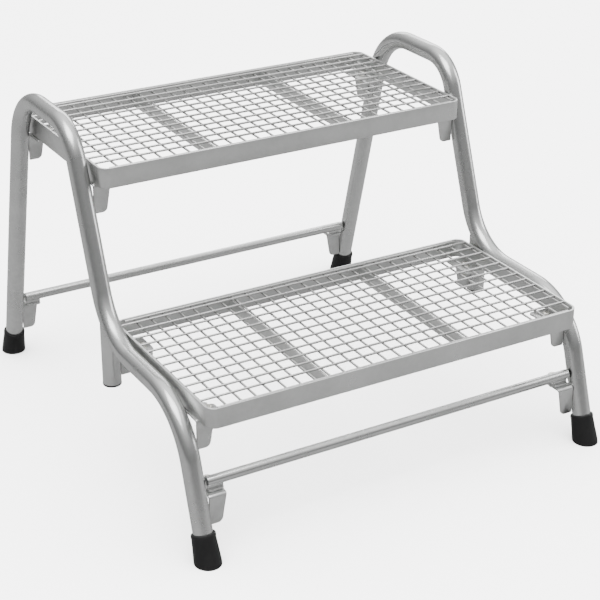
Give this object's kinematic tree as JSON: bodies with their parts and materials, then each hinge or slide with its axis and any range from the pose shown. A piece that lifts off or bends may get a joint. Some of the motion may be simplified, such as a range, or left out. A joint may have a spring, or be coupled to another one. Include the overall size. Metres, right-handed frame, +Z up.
{
  "type": "step stool",
  "caption": "Step stool of bent steel tube with open hand loops, a lower and an upper tread of welded wire mesh in flat rims, low cross bars and rubber feet.",
  "frame": {"origin": "on the floor, below the middle of the overall width and depth", "axes": "+X to the user's right across the width, +Y from front to rear, +Z up"},
  "size_m": [0.6124, 0.6759, 0.4532],
  "materials": {
    "frame_steel": "satin bright zinc on bent tube and pressed plate",
    "tread_steel": "satin bright zinc on flat bar",
    "mesh_wire": "bright zinc on drawn wire",
    "fastener": "zinc plated",
    "rubber": "matt black moulded rubber"
  },
  "bodies": {
    "root": {"side_tube_left": "frame_steel", "stub_post_left": "frame_steel", "stub_plug_left": "rubber", "foot_front_left": "rubber", "foot_rear_left": "rubber", "side_tube_right": "frame_steel", "stub_post_right": "frame_steel", "stub_plug_right": "rubber", "foot_front_right": "rubber", "foot_rear_right": "rubber", "tread_rim_lower": "tread_steel", "tread_mesh_lower": "mesh_wire", "tread_bar_lower_left": "tread_steel", "tread_bar_lower_right": "tread_steel", "tread_rim_upper": "tread_steel", "tread_mesh_upper": "mesh_wire", "tread_bar_upper_left": "tread_steel", "tread_bar_upper_right": "tread_steel", "cross_bar_front": "frame_steel", "cross_bar_rear": "frame_steel", "bracket_lower_front_left": "frame_steel", "bolt_lower_front_left": "fastener", "nut_lower_front_left": "fastener", "bracket_lower_front_right": "frame_steel", "bolt_lower_front_right": "fastener", "nut_lower_front_right": "fastener", "bracket_lower_rear_left": "frame_steel", "bolt_lower_rear_left": "fastener", "nut_lower_rear_left": "fastener", "bracket_lower_rear_right": "frame_steel", "bolt_lower_rear_right": "fastener", "nut_lower_rear_right": "fastener", "bracket_upper_front_left": "frame_steel", "bolt_upper_front_left": "fastener", "nut_upper_front_left": "fastener", "bracket_upper_front_right": "frame_steel", "bolt_upper_front_right": "fastener", "nut_upper_front_right": "fastener", "bracket_upper_rear_left": "frame_steel", "bolt_upper_rear_left": "fastener", "nut_upper_rear_left": "fastener", "bracket_upper_rear_right": "frame_steel", "bolt_upper_rear_right": "fastener", "nut_upper_rear_right": "fastener", "bracket_bar_front_left": "frame_steel", "bolt_bar_front_left": "fastener", "nut_bar_front_left": "fastener", "bracket_bar_front_right": "frame_steel", "bolt_bar_front_right": "fastener", "nut_bar_front_right": "fastener", "bracket_bar_rear_left": "frame_steel", "bolt_bar_rear_left": "fastener", "nut_bar_rear_left": "fastener", "bracket_bar_rear_right": "frame_steel", "bolt_bar_rear_right": "fastener", "nut_bar_rear_right": "fastener"}
  },
  "joints": []
}
